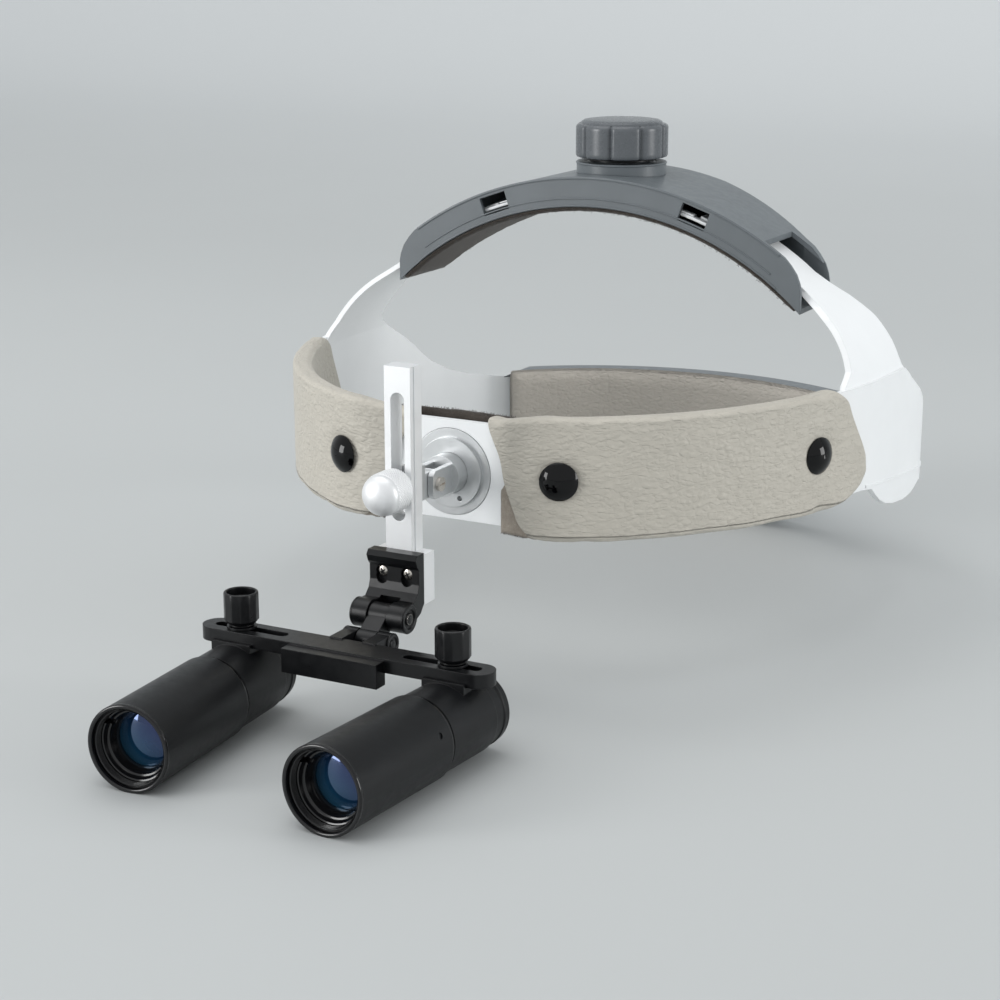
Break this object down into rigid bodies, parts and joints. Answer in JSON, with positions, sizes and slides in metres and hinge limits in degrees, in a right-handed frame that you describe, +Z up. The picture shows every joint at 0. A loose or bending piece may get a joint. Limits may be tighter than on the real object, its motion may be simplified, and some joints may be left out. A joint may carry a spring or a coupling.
{
  "type": "dental loupes",
  "caption": "Binocular loupes with two converging barrels on a slotted bridge bar, flip-up hinge and height post, carried by an adjustable headband with leather covers and a crown strap.",
  "frame": {"origin": "centre of the overall box at rest, on the surface that the barrels and the nape lobe stand on", "axes": "+Z up, the loupes look along -Y, the wearer's left is +X"},
  "size_m": [0.2002, 0.3566, 0.1582],
  "materials": {
    "white_plastic": "satin moulded plastic",
    "grey_plastic": "satin moulded plastic",
    "light_leather": "pebbled leather",
    "taupe_leather": "pebbled leather",
    "liner_fabric": "felted liner",
    "black_cap": "high gloss",
    "satin_aluminium": "satin anodised",
    "black_anodised": "satin black anodised",
    "matt_black_anodised": "fine matt black",
    "nickel_steel": "nickel plated",
    "coated_glass": "blue coated"
  },
  "bodies": {
    "headband": {"headband_shell": "white_plastic", "snap_fasteners": "black_cap", "left_leather_cover": "light_leather", "right_leather_cover": "light_leather", "forehead_pad": "liner_fabric", "mount_disc": "satin_aluminium"},
    "crown_strap": {"crown_shell": "grey_plastic", "crown_inner_cover": "grey_plastic", "crown_liner": "liner_fabric", "crown_base_ring": "grey_plastic"},
    "crown_adjuster": {"crown_knob": "grey_plastic", "crown_pinion": "grey_plastic", "crown_screw": "nickel_steel"},
    "rear_unit": {"rear_housing": "grey_plastic", "rear_inner_cover": "grey_plastic", "rear_leather_pad": "taupe_leather", "rear_base_ring": "grey_plastic"},
    "rear_adjuster": {"rear_knob": "grey_plastic", "rear_pinion": "grey_plastic", "rear_screw": "nickel_steel"},
    "socket": {"swivel_socket": "satin_aluminium", "mount_nut": "nickel_steel", "tilt_screw": "nickel_steel"},
    "guide": {"post_guide": "satin_aluminium"},
    "clamp": {"clamp_screw": "satin_aluminium", "clamp_washer": "satin_aluminium"},
    "post": {"height_post": "satin_aluminium", "hinge_bracket": "black_anodised", "bracket_screws": "nickel_steel", "flip_pin": "nickel_steel"},
    "link": {"hinge_link": "black_anodised", "tip_pin": "nickel_steel"},
    "bridge": {"bridge_bar": "black_anodised"},
    "left_optic": {"left_barrel": "matt_black_anodised", "left_set_screw": "black_anodised", "left_lens_ring": "black_anodised", "left_objective_lens": "coated_glass", "left_prism_cell": "black_anodised", "left_eye_lens": "coated_glass", "left_eyepiece": "matt_black_anodised", "left_yoke": "matt_black_anodised", "left_washer": "black_anodised"},
    "right_optic": {"right_barrel": "matt_black_anodised", "right_set_screw": "black_anodised", "right_lens_ring": "black_anodised", "right_objective_lens": "coated_glass", "right_prism_cell": "black_anodised", "right_eye_lens": "coated_glass", "right_eyepiece": "matt_black_anodised", "right_yoke": "matt_black_anodised", "right_washer": "black_anodised"},
    "left_thumb": {"left_thumb_screw": "black_anodised"},
    "right_thumb": {"right_thumb_screw": "black_anodised"}
  },
  "joints": [
    {"name": "crown_height", "type": "slide", "parent": "headband", "child": "crown_strap", "axis": [0, 0, 1], "range_m": [-0.003, 0.002]},
    {"name": "crown_knob_turn", "type": "hinge", "parent": "crown_strap", "child": "crown_adjuster", "pos_m": [0, 0.062, 0.15], "axis": [0, 0, 1], "range_deg": [-72, 48]},
    {"name": "rear_size", "type": "slide", "parent": "headband", "child": "rear_unit", "axis": [0, 1, 0], "range_m": [-0.0036, 0.0012]},
    {"name": "rear_knob_turn", "type": "hinge", "parent": "rear_unit", "child": "rear_adjuster", "pos_m": [0, 0.17, 0.03], "axis": [0, 1, 0], "range_deg": [-76, 26]},
    {"name": "mount_roll", "type": "hinge", "parent": "headband", "child": "socket", "pos_m": [0, -0.058, 0.0636], "axis": [0, 1, 0], "range_deg": [-15, 15]},
    {"name": "mount_tilt", "type": "hinge", "parent": "socket", "child": "guide", "pos_m": [0, -0.0705, 0.0636], "axis": [1, 0, 0], "range_deg": [-20, 20]},
    {"name": "post_height", "type": "slide", "parent": "guide", "child": "post", "axis": [0, 0, 1], "range_m": [-0.025, 0.0074]},
    {"name": "clamp_turn", "type": "hinge", "parent": "guide", "child": "clamp", "pos_m": [0, -0.0882, 0.0658], "axis": [0, -1, 0], "continuous": true},
    {"name": "flip_up", "type": "hinge", "parent": "post", "child": "link", "pos_m": [0, -0.0966, 0.0304], "axis": [-1, 0, 0], "range_deg": [-8, 60]},
    {"name": "bridge_tilt", "type": "hinge", "parent": "link", "child": "bridge", "pos_m": [0, -0.1043, 0.025], "axis": [-1, 0, 0], "range_deg": [-12, 25]},
    {"name": "left_pd", "type": "slide", "parent": "bridge", "child": "left_optic", "axis": [1, 0, 0], "range_m": [-0.004, 0.006]},
    {"name": "right_pd", "type": "slide", "parent": "bridge", "child": "right_optic", "axis": [-1, 0, 0], "range_m": [-0.004, 0.006]},
    {"name": "left_thumb_turn", "type": "hinge", "parent": "left_optic", "child": "left_thumb", "pos_m": [0.03441, -0.1174, 0.033], "axis": [0, 0, 1], "continuous": true},
    {"name": "right_thumb_turn", "type": "hinge", "parent": "right_optic", "child": "right_thumb", "pos_m": [-0.03441, -0.1174, 0.033], "axis": [0, 0, 1], "continuous": true}
  ],
  "couplings": [
    {"joint": "crown_knob_turn", "follows": "crown_height", "rad_per_m": 416.67},
    {"joint": "rear_knob_turn", "follows": "rear_size", "rad_per_m": 363.64}
  ]
}
